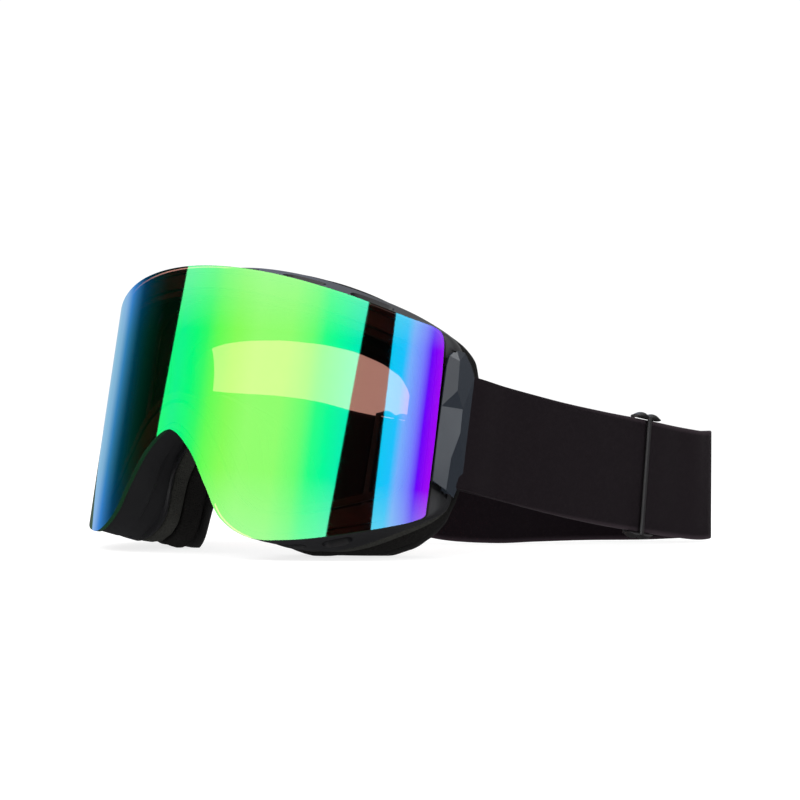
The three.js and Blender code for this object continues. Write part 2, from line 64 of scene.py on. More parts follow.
LENS_RADIUS = 100.0
LENS_THICKNESS = 1.6
INNER_LENS_RADIUS = 94.6
INNER_LENS_THICKNESS = 1.0
FRAME_LIP_RADIUS = 98.1
FLANGE_RADIUS = 94.8
FLANGE_THICKNESS = 2.4
FACE_ARC_CENTRE = 23.0
FRAME_BACK_RADIUS = 101.0
FACE_RADIUS = 85.0
FOAM_WRAP = 8.0
FLOOR_CLEARANCE = 0.02
SHOULDER_BULGE = 2.7

HINGE = {"x": 84.8, "y": -48.0, "pin": 0.9, "barrel": 1.7}
BAR_RADIUS = 1.0
BORE_CLEARANCE = 0.3
SEAT_CLEARANCE = 0.45
SEAT_FLOOR = 82.8
COVER_INSIDE = 85.2
KNUCKLE_SPANS = [(-32, -29), (9.5, 12.5)]
BORE_SPAN = (-34, 14.4)

# Vents are placed by how many outline points they lie from the middle of the brow.
VENTS = {
    "brow": {"places": [0.34, 1.34, 2.34], "length": 17},
    "cheek": {"places": [9.66, 10.66], "length": 11},
}
VENT_HEIGHT = 6

STRAP_WIDTH = 44.5
STRAP_WIDTH_AT_ARM = 41.0
STRAP_THICKNESS = 1.5
STRAP_LAYER = 1.2
STRAP_LAYER_OFFSET = 0.66
STRAP_GAP = 0.12
SELVEDGE_INSET = 0.15
FRONT_LENGTH = 102.5

SLIDER_LENGTH = 15.4
SLIDER_THICKNESS = 5.0
SLIDER_RAIL = 2.4
SLIDER_SIDE_GAP = 0.05
SLIDER_BAR_GAP = 0.45
SLIDER_BAR_HALF_WIDTH = 1.15
SLIDER_FROM_LAYERS = 0.8

# ---- Outlines, in millimetres ----
# The right half of each outline, from the middle of the brow to the middle of the nose notch.
# Lens outlines are (distance along the arc, height), the others (x, height).

LENS_RIM = [
    (0, 37.5), (30, 35.6), (60, 30.4), (86, 24.2), (99, 21), (100.7, 18.4), (101.9, -12),
    (102.2, -44), (99.6, -46.3), (76, -54.3), (55, -59.1), (41, -59.7), (29, -54),
    (20.3, -42.2), (11, -29.9), (0, -23.1),
]
LENS_OPENING = [
    (0, 27.5), (29, 25.8), (57, 21), (80, 15.5), (89, 12.5), (92, 7), (92.5, -10), (91.5, -30),
    (88, -36), (71, -43.5), (54, -47.6), (44, -47.5), (34.5, -42), (26, -30), (15, -16), (0, -9.5),
]
FRAME_BACK = [
    (0, 42), (28, 39.6), (52, 34), (70, 27), (78.5, 20.5), (81.3, 13), (81.8, -12), (82, -36),
    (80.5, -41.5), (71, -50.2), (57.4, -58.4), (43, -60.6), (31, -58.4), (22.8, -52.5),
    (18.8, -32), (0, -17),
]
FRAME_BACK_OPENING = [
    (0, 31), (26, 29), (48, 24.5), (62, 18.5), (68.5, 13), (71.5, 8), (72, -12), (71.5, -30),
    (69.5, -35), (63, -41), (53, -47.2), (42, -49), (35, -46.5), (30, -38), (22, -15), (0, -5.5),
]
FACE_EDGE = [
    (0, 44), (24, 41.6), (45.6, 35.9), (61, 28), (68.5, 20.4), (71, 12), (71.5, -12), (68.8, -37),
    (66.5, -45.5), (62.5, -52.5), (56, -57), (43, -60), (33, -61.5), (27.6, -58.5), (21.8, -42),
    (0, -21),
]
FACE_OPENING = [
    (0, 16.6), (20, 16.4), (36, 14.8), (47, 11.8), (53.5, 7.5), (56.6, 1), (57.5, -10),
    (57.5, -28), (55.5, -34), (51, -40), (46, -43.5), (41, -44.5), (36, -43.5), (32, -38),
    (24, -20), (0, -8),
]

# The side arm's outline as (y, height), counter-clockwise from its lower front corner.
ARM_OUTLINE = [
    (-51.4, -31.9), (-40.8, -36.2), (-38, -27), (-38, 7.5), (-40.3, 11.3), (-44, 15.2),
    (-48.2, 15.6), (-50.8, 12.8), (-51.4, 9),
]


# ---- Small helpers ----

def side_name(side):
    return "left" if side > 0 else "right"


def smoothstep(value, low, high):
    """A smooth rise from 0 at low to 1 at high."""
    t = np.clip((np.asarray(value, float) - low) / (high - low), 0, 1)
    return t * t * (3 - 2 * t)


def unit(vectors):
    vectors = np.asarray(vectors, float)
    return vectors / np.linalg.norm(vectors, axis=-1, keepdims=True)


def leaned(points):
    """Points of the leaning goggles, moved to the row frame, still in millimetres."""
    points = np.asarray(points, float)
    c, s = math.cos(LEAN), math.sin(LEAN)
    x, y, z = points[..., 0], points[..., 1], points[..., 2]
    return np.stack([x, c * y + s * z, c * z - s * y], -1) + AXIS


def upright(points):
    """Points of the strap, which doesn't lean, moved to the row frame, still in millimetres."""
    return np.asarray(points, float) + AXIS


def add_to_scene(name, data):
    item = bpy.data.objects.new(name, data)
    bpy.context.scene.collection.objects.link(item)
    return item


def mesh_piece(name, points, faces, materials, place=leaned):
    """A closed piece from points in millimetres, smooth, with its faces pointing out."""
    mesh = bpy.data.meshes.new(name)
    mesh.from_pydata((place(points) * MM).tolist(), [], [list(map(int, f)) for f in faces])
    mesh.validate()
    piece = add_to_scene(name, mesh)
    for material in materials:
        mesh.materials.append(material)
    face_outwards(piece)
    smooth(piece)
    return piece


def face_outwards(piece):
    work = bmesh.new()
    work.from_mesh(piece.data)
    bmesh.ops.recalc_face_normals(work, faces=work.faces)
    if work.calc_volume(signed=True) < 0:
        bmesh.ops.reverse_faces(work, faces=work.faces)
    work.to_mesh(piece.data)
    work.free()


def smooth(piece, angle=35):
    """Smooth shading, with edges sharper than angle in degrees kept crisp."""
    piece.data.shade_smooth()
    piece.data.set_sharp_from_angle(angle=math.radians(angle))


def apply_modifiers(piece):
    graph = bpy.context.evaluated_depsgraph_get()
    finished = bpy.data.meshes.new_from_object(piece.evaluated_get(graph))
    piece.modifiers.clear()
    piece.data = finished
    return piece


def bevelled(piece, width, segments, angle):
    """Rounds the sharp edges by width, in millimetres."""
    bevel = piece.modifiers.new("rounded_edges", "BEVEL")
    bevel.width = width * MM
    bevel.segments = segments
    bevel.limit_method = "ANGLE"
    bevel.angle_limit = math.radians(angle)
    bevel.harden_normals = True
    return apply_modifiers(piece)


def ring_faces(rows, width):
    """Quads of a closed ring of rows, each a closed section of width points."""
    i, j = np.meshgrid(np.arange(rows), np.arange(width), indexing="ij")
    after, beside = (i + 1) % rows, (j + 1) % width
    quads = [i * width + j, after * width + j, after * width + beside, i * width + beside]
    return np.stack(quads, -1).reshape(-1, 4)


def tube_faces(rows, width):
    """Quads of an open run of rows, each a closed section of width points, and its two end caps."""
    faces = ring_faces(rows, width)[: (rows - 1) * width].tolist()
    last = (rows - 1) * width
    return faces + [list(range(width - 1, -1, -1)), list(range(last, last + width))]


# ---- Curves ----

def curve_between(points, per_span):
    """A centripetal Catmull-Rom curve from the second point to the last but one."""
    points = np.asarray(points, float)
    p0, p1, p2, p3 = (points[k:len(points) - 3 + k, None] for k in range(4))
    d0, d1, d2 = (np.linalg.norm(b - a, axis=-1, keepdims=True) ** 0.5
                  for a, b in ((p0, p1), (p1, p2), (p2, p3)))
    start = ((p1 - p0) / d0 - (p2 - p0) / (d0 + d1) + (p2 - p1) / d1) * d1
    end = ((p2 - p1) / d1 - (p3 - p1) / (d1 + d2) + (p3 - p2) / d2) * d1
    t = np.arange(per_span)[None, :, None] / per_span
    cubic = p1 + start * t + (3 * (p2 - p1) - 2 * start - end) * t ** 2
    cubic = cubic + (2 * (p1 - p2) + start + end) * t ** 3
    return cubic.reshape(-1, points.shape[1])


def closed_curve(corners):
    """Through every corner and back to the first."""
    return curve_between([corners[-1], *corners, *corners[:2]], SAMPLES_PER_SPAN)


def open_curve(corners):
    """The end spans are extended as straight lines."""
    corners = np.asarray(corners, float)
    ends = [2 * corners[0] - corners[1], *corners, 2 * corners[-1] - corners[-2]]
    return np.concatenate([curve_between(ends, 60), corners[-1:]])


def lengths_along(points):
    """Each point's distance from the first, along the line through them all."""
    return np.concatenate([[0], np.cumsum(np.linalg.norm(np.diff(points, axis=0), axis=1))])


# ---- The paired loops ----

def sampled_loop(half):
    """The whole outline from its right half, sampled. It never gets wider than its points."""
    left = [(-u, height) for u, height in reversed(half[1:-1])]
    curve = closed_curve(list(half) + left)
    widest = max(u for u, _ in half)
    curve[:, 0] = np.clip(curve[:, 0], -widest, widest)
    return curve


LOOPS = {
    "lens": (sampled_loop(LENS_RIM), sampled_loop(LENS_OPENING)),
    "back": (sampled_loop(FRAME_BACK), sampled_loop(FRAME_BACK_OPENING)),
    "face": (sampled_loop(FACE_EDGE), sampled_loop(FACE_OPENING)),
}
LOOP_SIZE = len(LOOPS["lens"][0])


def between(pair, share):
    """The whole loop at a share from its outer outline, 0, to its opening, 1."""
    outer, inner = LOOPS[pair]
    return outer + (inner - outer) * share


def on_lens(flat, radius):
    """Points given as (distance along the arc, height), on the lens cylinder of that radius."""
    angle = flat[..., 0] / LENS_RADIUS
    return np.stack([radius * np.sin(angle), -radius * np.cos(angle), flat[..., 1]], -1)


def on_arc(flat, radius, centre):
    """Points given as (x, height), on an upright cylinder about the line y = centre."""
    depth = np.sqrt(radius * radius - flat[..., 0] ** 2)
    return np.stack([flat[..., 0], centre - depth, flat[..., 1]], -1)


def lens_loop(radius, share):
    return on_lens(between("lens", share), radius)


def back_loop(share):
    return on_arc(between("back", share), FRAME_BACK_RADIUS, FACE_ARC_CENTRE)


def face_loop(share):
    """On the face's arc, set further back at the cheeks and temples."""
    flat = between("face", share)
    cheek = smoothstep(-flat[:, 1], -5, 42)
    temple = smoothstep(np.abs(flat[:, 0]), 46, 71)
    wrap = FOAM_WRAP * (1 - (1 - cheek) * (1 - temple))
    return on_arc(flat, FACE_RADIUS, FACE_ARC_CENTRE + wrap)


def frame_loop(depth, share):
    """Between the frame's flange, at depth 0, and its back, at depth 1."""
    front = lens_loop(FLANGE_RADIUS, share)
    return front + (back_loop(share) - front) * depth


def above_floor(points):
    """Foam is pressed flat where the goggles stand on it."""
    floor = (points[..., 1] * math.sin(LEAN) - AXIS[2] + FLOOR_CLEARANCE) / math.cos(LEAN)
    points = points.copy()
    points[..., 2] = np.maximum(points[..., 2], floor)
    return points


def foam_loop(depth, share):
    """Between the frame's back, at depth 0, and the face, at depth 1."""
    front = back_loop(share)
    return front + (face_loop(share) - front) * depth


def rounded_section(corners, radius, per_corner):
    """(across, along) pairs of a box section's outline with rounded corners, in its own units."""
    (low_a, low_b), (high_a, high_b) = corners
    ra, rb = radius
    centres = [(high_a - ra, high_b - rb, 0), (low_a + ra, high_b - rb, 90),
               (low_a + ra, low_b + rb, 180), (high_a - ra, low_b + rb, 270)]
    outline = []
    for a, b, start in centres:
        for k in range(per_corner + 1):
            turn = math.radians(start + 90 * k / per_corner)
            outline.append((a + ra * math.cos(turn), b + rb * math.sin(turn)))
    return outline


# ---- Materials ----

def linear(red, green, blue):
    """An sRGB colour given from 0 to 255, as the linear RGBA that nodes take."""
    def channel(value):
        value /= 255
        return value / 12.92 if value <= 0.04045 else ((value + 0.055) / 1.055) ** 2.4
    return (channel(red), channel(green), channel(blue), 1.0)


class Nodes:
    """A node tree, with one short call for each kind of node."""

    def __init__(self, owner):
        owner.use_nodes = True
        self.tree = owner.node_tree

    def add(self, kind, settings=None, **inputs):
        node = self.tree.nodes.new("ShaderNode" + kind)
        for key, value in (settings or {}).items():
            setattr(node, key, value)
        for key, value in inputs.items():
            self.put(node, key.replace("_", " "), value)
        return node

    def put(self, node, key, value):
        socket = node.inputs[int(key[1:])] if key[:1] == "#" else node.inputs[key]
        if isinstance(value, bpy.types.NodeSocket):
            self.tree.links.new(value, socket)
        else:
            socket.default_value = value

    def place(self):
        return self.add("TexCoord").outputs["Object"]

    def noise(self, scale, detail=4.0, roughness=0.55, at=None):
        vector = self.place() if at is None else at
        return self.add("TexNoise", Vector=vector, Scale=scale, Detail=detail,
                        Roughness=roughness).outputs["Fac"]

    def math(self, operation, first, second=0.0, third=None):
        node = self.add("Math", {"operation": operation})
        self.put(node, "#0", first)
        self.put(node, "#1", second)
        if third is not None:
            self.put(node, "#2", third)
        return node.outputs[0]

    def spread(self, value, low, high, from_low=0.0, from_high=1.0):
        return self.add("MapRange", Value=value, From_Min=from_low, From_Max=from_high,
                        To_Min=low, To_Max=high).outputs["Result"]

    def mix(self, share, first, second):
        node = self.add("Mix", {"data_type": "RGBA"})
        for index, value in ((0, share), (6, first), (7, second)):
            self.put(node, f"#{index}", value)
        return node.outputs[2]

    def ramp(self, value, stops):
        node = self.add("ValToRGB", Fac=value)
        band = node.color_ramp
        while len(band.elements) < len(stops):
            band.elements.new(0.5)
        for element, (position, colour) in zip(band.elements, sorted(stops)):
            element.position = position
            element.color = colour
        return node.outputs["Color"]

    def bump(self, height, distance, strength=1.0, after=None):
        """distance is the height of a full step, in metres."""
        node = self.add("Bump", Height=height, Distance=distance, Strength=strength)
        if after is not None:
            self.put(node, "Normal", after)
        return node.outputs["Normal"]


class Shader(Nodes):
    """A new material with a Principled surface."""

    def __init__(self, name):
        self.material = bpy.data.materials.new(name)
        super().__init__(self.material)
        self.principled = self.tree.nodes["Principled BSDF"]
        self.output = self.tree.nodes["Material Output"]

    def surface(self, **inputs):
        for key, value in inputs.items():
            self.put(self.principled, key.replace("_", " "), value)

    def finish(self, shader_socket):
        """Uses another shader than the plain Principled one."""
        self.tree.links.new(shader_socket, self.output.inputs["Surface"])

    def partly_clear(self, share, colour):
        """Lets a share of the light straight through, tinted."""
        clear = self.add("BsdfTransparent", Color=colour)
        both = self.add("MixShader")
        for index, value in enumerate((share, self.principled.outputs[0], clear.outputs[0])):
            self.put(both, f"#{index}", value)
        self.finish(both.outputs[0])


def place_on_lens(shader):
    """How far round the lens a point is, from 0 at the middle to 1 at the side edge, and its
    height above the axis' middle, in metres."""
    turned = shader.add("Mapping", Vector=shader.place(), Rotation=(LEAN, 0, 0))
    c, s = math.cos(LEAN), math.sin(LEAN)
    _, y, z = AXIS * MM
    turned.inputs["Location"].default_value = (0, -(c * y - s * z), -(s * y + c * z))
    parts = shader.add("SeparateXYZ", Vector=turned.outputs[0])
    behind = shader.math("MULTIPLY", parts.outputs["Y"], -1.0)
    angle = shader.math("ARCTAN2", parts.outputs["X"], behind)
    reach = (max(u for u, _ in LENS_RIM) + 0.8) / LENS_RADIUS
    share = shader.math("DIVIDE", shader.math("ABSOLUTE", angle), reach)
    return share, parts.outputs["Z"]


def mirror_material():
    """A multi-layer mirror coating over an amber lens: mostly mirror, partly see-through."""
    shader = Shader("mirror_lens")
    share, height = place_on_lens(shader)
    wander = shader.noise(9.0, 2.0)
    share = shader.math("ADD", share, shader.spread(wander, -0.006, 0.006))
    coating = shader.ramp(share, [
        (0.0, linear(0, 242, 136)),
        (0.07, linear(0, 248, 118)),
        (0.12, linear(42, 248, 102)),
        (0.17, linear(95, 250, 86)),
        (0.25, linear(132, 250, 90)),
        (0.33, linear(146, 252, 110)),
        (0.45, linear(142, 252, 110)),
        (0.53, linear(104, 252, 114)),
        (0.575, linear(36, 251, 134)),
        (0.62, linear(0, 248, 152)),
        (0.70, linear(0, 232, 182)),
        (0.80, linear(0, 200, 240)),
        (0.85, linear(24, 192, 250)),
        (0.875, linear(116, 174, 251)),
        (0.915, linear(116, 130, 252)),
        (0.945, linear(100, 0, 248)),
        (0.985, linear(156, 8, 243)),
    ])
    # Paler towards the top and bottom edges: a painted reflection of brighter surroundings, mixed into
    # the coating colour.
    painted_reflection_paling = shader.math("ABSOLUTE", shader.math("ADD", height, 11.0 * MM))
    painted_reflection_paling = shader.spread(painted_reflection_paling, 0.0, 0.28, 25.0 * MM, 50.0 * MM)
    coating = shader.mix(painted_reflection_paling, coating, linear(196, 255, 214))
    shader.surface(Base_Color=coating, Metallic=1.0, Roughness=0.035)
    turned = shader.add("LayerWeight", Blend=0.5).outputs["Facing"]
    shader.partly_clear(shader.spread(turned, 0.48, 0.0, 0.45, 0.75), (0.94, 0.45, 0.38, 1.0))
    return shader.material


def lens_back_material():
    """The bare back of the tinted lens."""
    shader = Shader("lens_back")
    film = shader.noise(25.0, 2.0)
    shader.surface(Base_Color=linear(14, 16, 12), Roughness=shader.spread(film, 0.05, 0.12))
    shader.partly_clear(0.93, (1.0, 0.98, 0.95, 1.0))
    return shader.material


def lens_edge_material():
    shader = Shader("lens_edge")
    drift = shader.noise(60.0, 2.0)
    tone = shader.mix(drift, linear(8, 40, 20), linear(14, 62, 34))
    shader.surface(Base_Color=tone, Roughness=0.22, IOR=1.58)
    return shader.material


def clear_lens_material():
    """The inner lens: thin clear plastic with a faint smoke tint."""
    shader = Shader("clear_lens")
    haze = shader.noise(30.0, 3.0)
    shader.surface(Base_Color=linear(20, 24, 22), Roughness=shader.spread(haze, 0.04, 0.09))
    shader.partly_clear(0.95, (0.97, 0.97, 0.95, 1.0))
    return shader.material


def moulded_material(name, dark, light, roughness, grain):
    """Moulded plastic: a fine spark-eroded grain and slow changes of tone and gloss."""
    shader = Shader(name)
    drift = shader.noise(22.0, 3.0)
    fine = shader.noise(2600.0, 2.0)
    tone = shader.mix(drift, dark, light)
    gloss = shader.spread(shader.noise(90.0, 4.0), roughness - 0.06, roughness + 0.06)
    shader.surface(Base_Color=tone, Roughness=gloss, Normal=shader.bump(fine, grain * MM, 0.6))
    return shader.material


def foam_material(name, dark, light, cell):
    """Open-cell foam: small pores between soft struts, darkened by painted shade."""
    shader = Shader(name)
    place = shader.place()
    cells = shader.add("TexVoronoi", {"feature": "F1"}, Vector=place, Scale=1000.0 / cell)
    pores = shader.spread(cells.outputs["Distance"], 1.0, 0.0, 0.0, 0.75)
    drift = shader.noise(70.0, 4.0, at=place)
    # The pores are painted darker: painted shade inside them, from the same mask as their bump.
    tone = shader.mix(shader.math("MULTIPLY", pores, drift), light, dark)
    relief = shader.bump(pores, 0.35 * MM, 0.7)
    relief = shader.bump(shader.noise(180.0, 3.0, at=place), 0.6 * MM, 0.5, relief)
    shader.surface(Base_Color=tone, Roughness=1.0, Specular_IOR_Level=0.12, Normal=relief)
    return shader.material


def fleece_material():
    """Brushed fleece: short fibres lying every way, with a soft sheen."""
    shader = Shader("fleece")
    place = shader.place()
    stretched = shader.add("Mapping", Vector=place, Scale=(1.0, 1.0, 3.2)).outputs[0]
    fibres = shader.noise(1500.0, 6.0, 0.75, at=stretched)
    tufts = shader.noise(260.0, 4.0, 0.6, at=place)
    tone = shader.mix(fibres, linear(9, 9, 9), linear(30, 29, 29))
    relief = shader.bump(tufts, 0.5 * MM, 0.5)
    relief = shader.bump(fibres, 0.25 * MM, 0.8, relief)
    shader.surface(Base_Color=tone, Roughness=1.0, Specular_IOR_Level=0.1, Sheen_Weight=0.05,
                   Sheen_Roughness=0.5, Normal=relief)
    return shader.material


def webbing_material():
    """Knitted elastic: fine ribs along the strap crossed by rows of stitches."""
    shader = Shader("webbing")
    weave = shader.add("UVMap", {"uv_map": "weave"}).outputs[0]
    parts = shader.add("SeparateXYZ", Vector=weave)
    along, across = parts.outputs["X"], parts.outputs["Y"]
    row, rib = 0.62 * MM, 0.85 * MM
    row_phase = shader.math("MULTIPLY", along, 2 * math.pi / row)
    rows = shader.math("SINE", row_phase)
    ribs = shader.math("SINE", shader.math("MULTIPLY", across, 2 * math.pi / rib))
    shift = shader.math("MULTIPLY", shader.math("SIGN", ribs), math.pi / 2)
    stitches = shader.math("SINE", shader.math("ADD", row_phase, shift))
    knit = shader.math("MULTIPLY", stitches, shader.math("ABSOLUTE", ribs))
    knit = shader.spread(knit, 0, 1, -1, 1)
    place = shader.place()
    lint = shader.noise(900.0, 5.0, 0.7, at=place)
    drift = shader.noise(35.0, 4.0, at=place)
    # Darker where the knit is low: painted shade in the valleys between stitches, over the yarn's own
    # colour.
    yarn_with_stitch_shade = shader.mix(knit, linear(6, 3, 5), linear(21, 13, 19))
    tone = shader.mix(shader.spread(drift, 0.0, 0.5), yarn_with_stitch_shade, linear(22, 13, 19))
    tone = shader.mix(shader.spread(lint, 0.0, 0.3, 0.5, 0.85), tone, linear(44, 36, 40))
    # Both long edges are painted lighter: a painted highlight where the strap's edges catch the light.
    painted_edge_highlight = shader.spread(shader.math("ABSOLUTE", across), 0.0, 0.7, 20.0 * MM, 22.0 * MM)
    tone = shader.mix(painted_edge_highlight, tone, linear(58, 48, 54))
    relief = shader.bump(knit, 0.12 * MM, 0.8)
    relief = shader.bump(shader.spread(rows, 0, 1, -1, 1), 0.04 * MM, 0.5, relief)
    relief = shader.bump(lint, 0.1 * MM, 0.5, relief)
    shader.surface(Base_Color=tone, Roughness=0.95, Specular_IOR_Level=0.1, Sheen_Weight=0.06,
                   Sheen_Roughness=0.3, Normal=relief)
    return shader.material


def metal_material(name, dark, light, roughness, grain):
    """Brushed metal: fine lines along one direction."""
    shader = Shader(name)
    place = shader.place()
    brushed = shader.add("Mapping", Vector=place, Scale=(1.0, 1.0, 0.08)).outputs[0]
    lines = shader.noise(grain, 5.0, 0.7, at=brushed)
    shader.surface(Base_Color=shader.mix(lines, dark, light), Metallic=1.0,
                   Roughness=shader.spread(lines, roughness - 0.08, roughness + 0.1),
                   Normal=shader.bump(lines, 0.01 * MM, 0.5))
    return shader.material


def gasket_material():
    shader = Shader("gasket")
    skin = shader.noise(700.0, 4.0)
    tone = shader.mix(skin, linear(14, 14, 14), linear(28, 28, 28))
    shader.surface(Base_Color=tone, Roughness=shader.spread(skin, 0.6, 0.85),
                   Normal=shader.bump(skin, 0.05 * MM, 0.5))
    return shader.material


mirror = mirror_material()
lens_edge = lens_edge_material()
lens_back = lens_back_material()
clear_lens = clear_lens_material()
frame_plastic = moulded_material("frame_plastic", linear(20, 20, 22), linear(28, 28, 31), 0.46,
                                 0.03)
arm_plastic = moulded_material("arm_plastic", linear(32, 37, 44), linear(38, 43, 51), 0.22, 0.01)
buckle_plastic = moulded_material("buckle", linear(22, 21, 22), linear(34, 32, 33), 0.42, 0.02)
foam = foam_material("foam", linear(5, 5, 5), linear(22, 21, 20), 0.75)
foam_lip = foam_material("foam_lip", linear(20, 20, 19), linear(46, 46, 43), 0.6)
vent_foam = foam_material("vent_foam", linear(7, 7, 7), linear(44, 43, 43), 0.9)
fleece = fleece_material()
webbing = webbing_material()
steel = metal_material("steel", linear(150, 152, 156), linear(196, 197, 200), 0.34, 400.0)
magnet_metal = metal_material("magnet", linear(176, 178, 182), linear(206, 207, 210), 0.26, 250.0)
gasket = gasket_material()


# ---- Lens ----

def heights_at(loop, arc):
    """The highest and lowest crossing of a loop at a distance along the arc."""
    after = np.roll(loop, -1, 0)
    low, high = np.minimum(loop[:, 0], after[:, 0]), np.maximum(loop[:, 0], after[:, 0])
    crossing = (low <= arc) & (arc <= high) & (high > low)
    here, there = loop[crossing], after[crossing]
    heights = here[:, 1] + (there[:, 1] - here[:, 1]) * (arc - here[:, 0]) / (there - here)[:, 0]
    return heights.max(), heights.min()


def lens_plate(name, radius, thickness, share, materials, stations, rows):
    """A curved plate cut to an outline, built as upright strips of its front, back and edges."""
    loop = between("lens", share)
    reach = loop[:, 0].max() - 0.02
    t = np.linspace(-1, 1, stations + 1)
    arcs = reach * (0.55 * t + 0.45 * np.sin(math.pi * t / 2))
    spans = np.array([heights_at(loop, arc) for arc in arcs])
    down = np.linspace(0, 1, rows + 1)
    heights = spans[:, :1] + (spans[:, 1:] - spans[:, :1]) * down
    flat = np.stack([np.repeat(arcs[:, None], rows + 1, 1), heights], -1)
    front, back = on_lens(flat, radius), on_lens(flat[:, ::-1], radius - thickness)
    section = np.concatenate([front, back], 1)
    width = 2 * (rows + 1)
    faces = ring_faces(stations + 1, width)[: stations * width].tolist()
    for row in range(rows):
        for start, flip in ((0, False), (stations * width, True)):
            a, b = start + row, start + row + 1
            d, c = start + width - 1 - row, start + width - 2 - row
            faces.append([d, c, b, a] if flip else [a, b, c, d])
    plate = mesh_piece(name, section.reshape(-1, 3), faces, materials)
    bevelled(plate, 0.3, 3, 50)
    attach(plate, "lens")
    return plate


def paint_lens_edge(plate):
    """The coating covers the front only: the edge and the back show the bare plastic."""
    axis = Vector(AXIS * MM)
    unlean = Matrix.Rotation(LEAN, 3, "X")
    for face in plate.data.polygons:
        away = unlean @ (face.center - axis)
        away.z = 0
        facing = (unlean @ face.normal).dot(away.normalized())
        if facing < 0.97:
            face.material_index = 1 if facing > -0.97 else 2


outer_lens = lens_plate("lens_shell", LENS_RADIUS, LENS_THICKNESS, 0,
                        [mirror, lens_edge, lens_back], 240, 10)
paint_lens_edge(outer_lens)
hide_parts("outer_lens")

inner_lens = lens_plate("inner_lens_pane", INNER_LENS_RADIUS, INNER_LENS_THICKNESS, 0.85,
                        [clear_lens], 120, 4)
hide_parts("inner_lens")


# ---- Frame ----

def frame_section():
    """The frame's section at every loop point, as an array of (loop point, section point, xyz)."""
    flange_rear = FLANGE_RADIUS - FLANGE_THICKNESS
    outline = between("lens", 0)
    nose = (1 - smoothstep(np.abs(outline[:, 0]), 30, 44)) * (outline[:, 1] < 0)

    def bulged(depth, amount, recess=0.0):
        """The outside, swollen at the shoulders and drawn in beside the nose."""
        points = frame_loop(depth, (recess * nose)[:, None])
        side = smoothstep(np.abs(points[:, 0]), 70, 82)
        points[:, 0] += np.sign(points[:, 0]) * SHOULDER_BULGE * amount * side
        return points

    loops = [
        lens_loop(FRAME_LIP_RADIUS, 0.04), lens_loop(FRAME_LIP_RADIUS, 0.19),
        lens_loop(FLANGE_RADIUS, 0.19), lens_loop(FLANGE_RADIUS, 0.8),
        lens_loop(flange_rear, 0.8), lens_loop(flange_rear, 0.27),
        frame_loop(0.85, 0.27), frame_loop(0.85, 0.95),
        frame_loop(1, 0.95), frame_loop(1, 0),
        bulged(0.94, 0.3), bulged(0.9, 0.4, 0.13), bulged(0.62, 0.9, 0.14), bulged(0.45, 1.0, 0.13),
        bulged(0.38, 1.0), bulged(0.26, 0.85), bulged(0.12, 0.55),
    ]
    return np.stack(loops, 1)


def box_mesh(name, centre, size):
    """A cutter: a box in the goggles' frame."""
    signs = np.array([(a, b, c) for a in (-1, 1) for b in (-1, 1) for c in (-1, 1)], float)
    points = np.asarray(centre) + signs * np.asarray(size) / 2
    faces = [(0, 1, 3, 2), (4, 6, 7, 5), (0, 4, 5, 1), (2, 3, 7, 6), (0, 2, 6, 4), (1, 5, 7, 3)]
    return mesh_piece(name, points, faces, [frame_plastic])


def prism(name, outline, low, high, side):
    """A cutter: a (y, height) outline drawn out along x, on the wearer's left or right."""
    points = [(side * x, y, z) for x in (low, high) for y, z in outline]
    return mesh_piece(name, np.array(points), tube_faces(2, len(outline)), [frame_plastic])


def hinge_rod(name, side, radius, low, high, material):
    """A rod on an arm's hinge axis, from one height to another."""
    sides = 24
    angles = np.linspace(0, 2 * math.pi, sides, endpoint=False)
    x = side * HINGE["x"] + radius * np.cos(angles)
    y = HINGE["y"] + radius * np.sin(angles)
    points = np.concatenate([np.column_stack([x, y, np.full(sides, z)]) for z in (low, high)])
    return mesh_piece(name, points, tube_faces(2, sides), [material])


def boolean(piece, tools, operation):
    """Cuts the tools from the piece or joins them to it, and uses them up."""
    for tool in tools:
        cut = piece.modifiers.new("cut", "BOOLEAN")
        cut.operation = operation
        cut.solver = "EXACT"
        cut.object = tool
    apply_modifiers(piece)
    for tool in tools:
        bpy.data.objects.remove(tool)
    return piece


def grown(outline, clearance):
    """A convex outline moved outwards by a clearance."""
    points = np.asarray(outline, float)
    before, after = np.roll(points, 1, 0), np.roll(points, -1, 0)

    def outward(a, b):
        along = unit(b - a)
        return np.stack([along[:, 1], -along[:, 0]], -1)

    first, second = outward(before, points), outward(points, after)
    corner = unit(first + second)
    stretch = clearance / np.sum(corner * first, 1, keepdims=True)
    return points + corner * stretch


def vent_cutter(place, side, length, name):
    """A slot with round ends through the frame's wall."""
    index = round(place * SAMPLES_PER_SPAN) * side % LOOP_SIZE
    wall, inner = frame_loop(0.5, 0.12), frame_loop(0.5, 1.0)
    reach = 3
    along = unit(wall[(index + reach) % LOOP_SIZE] - wall[index - reach])
    inward = inner[index] - wall[index]
    inward = unit(inward - along * np.dot(inward, along))
    across = np.cross(along, inward)
    half_length, half_height = length / 2, VENT_HEIGHT / 2
    outline = rounded_section(((-half_length, -half_height), (half_length, half_height)),
                              (half_height - 0.01, half_height - 0.01), 5)
    points = [wall[index] + along * a + across * b + inward * depth
              for depth in (-4.5, 4.5) for a, b in outline]
    return mesh_piece(name, np.array(points), tube_faces(2, len(outline)), [frame_plastic])


def knuckle(side, low, high, name):
    """A hinge knuckle: a barrel on the arm's axis and its foot in the seat's floor."""
    reach = HINGE["barrel"]
    root = SEAT_FLOOR - 0.6
    foot = box_mesh(name + "_foot", (side * (root + HINGE["x"]) / 2, HINGE["y"], (low + high) / 2),
                    (HINGE["x"] - root, 2 * reach, high - low))
    return [foot, hinge_rod(name, side, reach, low, high, frame_plastic)]


